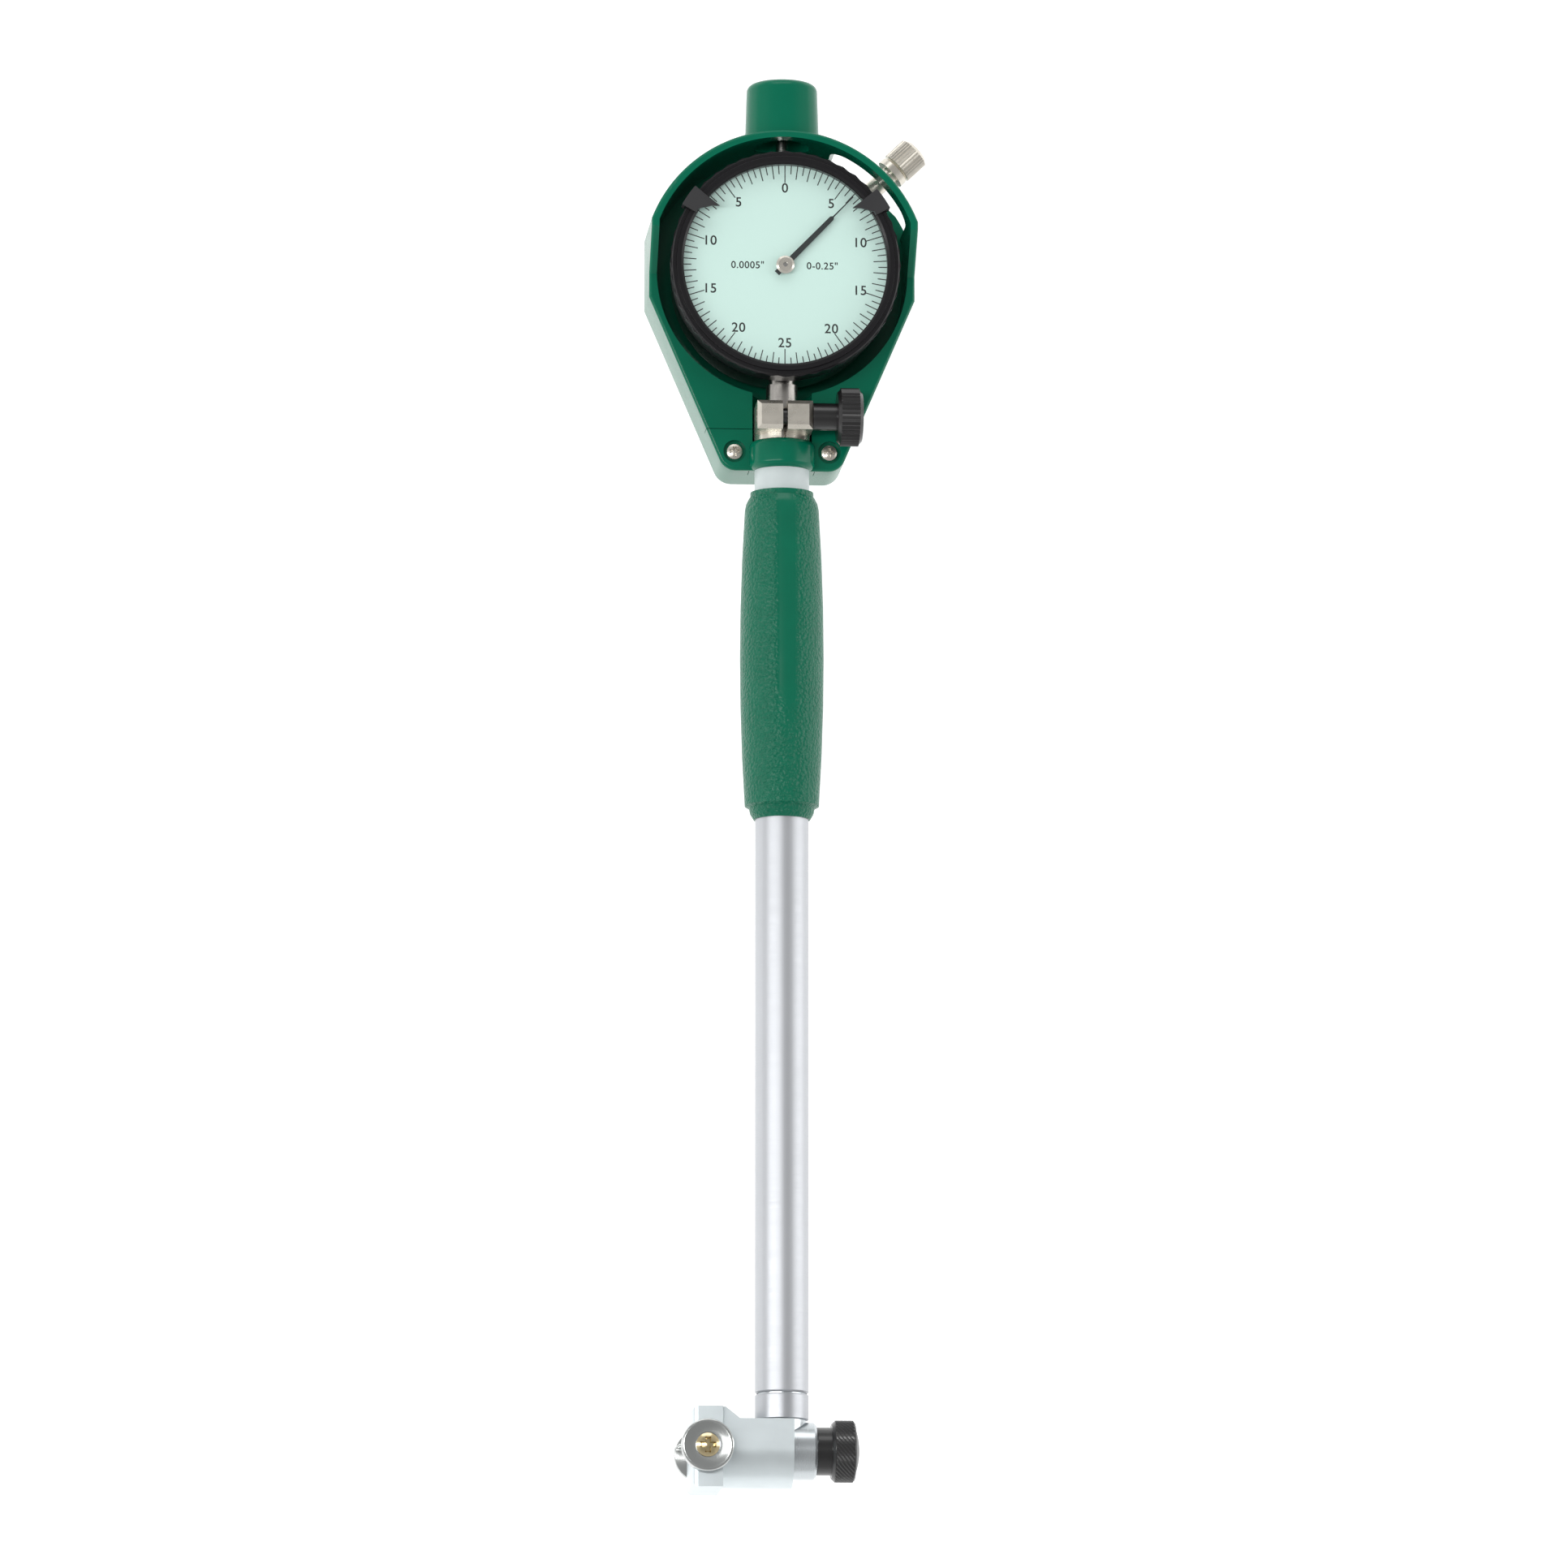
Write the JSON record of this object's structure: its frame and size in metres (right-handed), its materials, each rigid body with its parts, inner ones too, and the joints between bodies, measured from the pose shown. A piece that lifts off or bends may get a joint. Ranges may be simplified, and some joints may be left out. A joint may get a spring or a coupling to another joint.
{
  "type": "dial bore gauge",
  "caption": "Two-point bore gauge: a long handle tube with a grip, a spring-loaded measuring head with guide rollers, and a dial indicator held in a protective housing.",
  "frame": {"origin": "on the flat back of the housing, straight behind the centre of the dial", "axes": "+X across the gauge, +Y up along the gauge axis from the measuring head to the dial, +Z out of the dial towards the reader"},
  "size_m": [0.0691, 0.3526, 0.0336],
  "materials": {
    "green_plastic": "glossy moulded dark green plastic",
    "green_grip": "grained dark green moulding",
    "white_plastic": "plain white insulating plastic",
    "ground_steel": "satin ground steel",
    "hardened_steel": "fine ground hardened steel",
    "nickel_plate": "warm nickel plate",
    "bright_chrome": "bright plated steel",
    "black_metal": "black oxide",
    "grey_casting": "matt grey casting",
    "zinc_plate": "zinc-plated turned steel",
    "grey_plug": "grey moulded plug",
    "case_metal": "satin turned aluminium",
    "brass": "satin brass",
    "dial_paint": "printed pale mint dial",
    "clear_crystal": "clear flat crystal",
    "black_aluminium": "black painted thin aluminium"
  },
  "bodies": {
    "gauge_body": {"housing": "green_plastic", "neck_cap": "green_plastic", "cover_screw_left": "bright_chrome", "cover_screw_right": "bright_chrome", "stem_clamp": "nickel_plate", "insulating_sleeve": "white_plastic", "handle_grip": "green_grip", "outer_tube": "ground_steel", "tube_collar": "zinc_plate", "upper_guide_bush": "brass", "lower_guide_bush": "brass", "head_body": "zinc_plate", "lever_pin": "hardened_steel", "socket_plug": "grey_plug", "bridge_guide_screw": "bright_chrome", "indicator_case": "case_metal", "indicator_back": "case_metal", "back_screws": "bright_chrome", "stem": "ground_steel", "top_bush": "brass", "rear_plate": "brass", "middle_plate": "brass", "front_plate": "brass", "movement_pillars": "brass", "bezel_clamp_bush": "brass"},
    "contact": {"measuring_contact": "hardened_steel", "contact_ball": "hardened_steel"},
    "lever": {"transfer_lever": "hardened_steel"},
    "rod": {"push_rod": "hardened_steel", "push_rod_spring": "hardened_steel"},
    "spindle_body": {"spindle": "hardened_steel", "spindle_cap": "bright_chrome", "contact_point": "hardened_steel", "spindle_spring": "hardened_steel"},
    "rack_wheel": {"rack_pinion": "hardened_steel", "rack_gear": "brass", "rack_arbor": "hardened_steel"},
    "take_up_wheel": {"take_up_gear": "brass", "take_up_arbor": "hardened_steel"},
    "pointer_body": {"pointer": "black_aluminium", "pointer_hub": "black_aluminium", "pointer_arbor": "hardened_steel", "centre_pinion": "hardened_steel"},
    "bezel_body": {"bezel": "black_metal", "crystal": "clear_crystal", "dial_face": "dial_paint"},
    "marker_left": {"tolerance_marker_left": "bright_chrome"},
    "marker_right": {"tolerance_marker_right": "bright_chrome"},
    "bridge": {"centring_bridge": "grey_casting", "roller_screw_front": "brass", "roller_screw_rear": "brass", "bridge_spring": "hardened_steel"},
    "front_roller": {"roller_front": "hardened_steel"},
    "rear_roller": {"roller_rear": "hardened_steel"},
    "stem_clamp_screw": {"clamp_screw": "black_metal"},
    "rim_clamp_screw": {"bezel_clamp_screw": "bright_chrome"},
    "anvil_nut": {"lock_nut": "black_metal"}
  },
  "joints": [
    {"name": "contact_slide", "type": "slide", "parent": "gauge_body", "child": "contact", "axis": [1, 0, 0], "range_m": [0, 0.0015], "stiffness_N_per_m": 1200, "springref_m": -0.0015},
    {"name": "lever_turn", "type": "hinge", "parent": "gauge_body", "child": "lever", "pos_m": [-0.004, -0.2905, 0.0175], "axis": [0, 0, 1], "range_deg": [0, 21.54]},
    {"name": "rod_slide", "type": "slide", "parent": "gauge_body", "child": "rod", "axis": [0, 1, 0], "range_m": [0, 0.00151], "deforming": ["push_rod_spring"]},
    {"name": "spindle_slide", "type": "slide", "parent": "gauge_body", "child": "spindle_body", "axis": [0, 1, 0], "range_m": [0, 0.00151], "deforming": ["spindle_spring"]},
    {"name": "rack_gear_turn", "type": "hinge", "parent": "gauge_body", "child": "rack_wheel", "pos_m": [-0.00302, -0.00967, 0.0175], "axis": [0, 0, 1], "range_deg": [0, 53.25]},
    {"name": "take_up_turn", "type": "hinge", "parent": "gauge_body", "child": "take_up_wheel", "pos_m": [0.00532, 0.00416, 0.0175], "axis": [0, 0, 1], "range_deg": [0, 85.14]},
    {"name": "pointer_turn", "type": "hinge", "parent": "gauge_body", "child": "pointer_body", "pos_m": [0, 0, 0.0175], "axis": [0, 0, 1], "range_deg": [-425.7, 0]},
    {"name": "bezel_turn", "type": "hinge", "parent": "gauge_body", "child": "bezel_body", "pos_m": [0, 0, 0.0175], "axis": [0, 0, 1], "continuous": true},
    {"name": "marker_left_turn", "type": "hinge", "parent": "bezel_body", "child": "marker_left", "pos_m": [0, 0, 0.0175], "axis": [0, 0, 1], "range_deg": [-40, 40]},
    {"name": "marker_right_turn", "type": "hinge", "parent": "bezel_body", "child": "marker_right", "pos_m": [0, 0, 0.0175], "axis": [0, 0, 1], "range_deg": [-40, 40]},
    {"name": "bridge_slide", "type": "slide", "parent": "gauge_body", "child": "bridge", "axis": [1, 0, 0], "range_m": [0, 0.003], "stiffness_N_per_m": 400, "springref_m": -0.003, "deforming": ["bridge_spring"]},
    {"name": "front_roller_spin", "type": "hinge", "parent": "bridge", "child": "front_roller", "pos_m": [-0.0191, -0.2945, 0.0304], "axis": [0, 0, 1], "continuous": true},
    {"name": "rear_roller_spin", "type": "hinge", "parent": "bridge", "child": "rear_roller", "pos_m": [-0.0191, -0.2945, 0.0046], "axis": [0, 0, 1], "continuous": true},
    {"name": "clamp_screw_turn", "type": "hinge", "parent": "gauge_body", "child": "stem_clamp_screw", "pos_m": [0.0102, -0.0379, 0.0263], "axis": [1, 0, 0], "range_deg": [0, 360]},
    {"name": "bezel_clamp_turn", "type": "hinge", "parent": "gauge_body", "child": "rim_clamp_screw", "pos_m": [0.02539, 0.02409, 0.0185], "axis": [0.7254, 0.6884, 0], "range_deg": [0, 360]},
    {"name": "anvil_nut_turn", "type": "hinge", "parent": "gauge_body", "child": "anvil_nut", "pos_m": [0.012, -0.2945, 0.0175], "axis": [1, 0, 0], "range_deg": [0, 360]}
  ],
  "couplings": [
    {"joint": "lever_turn", "follows": "contact_slide", "rad_per_m": 250},
    {"joint": "rod_slide", "follows": "contact_slide", "ratio": 1},
    {"joint": "spindle_slide", "follows": "contact_slide", "ratio": 1},
    {"joint": "rack_gear_turn", "follows": "contact_slide", "rad_per_m": 618.42},
    {"joint": "take_up_turn", "follows": "contact_slide", "rad_per_m": 989.48},
    {"joint": "pointer_turn", "follows": "contact_slide", "rad_per_m": -4947.4}
  ]
}
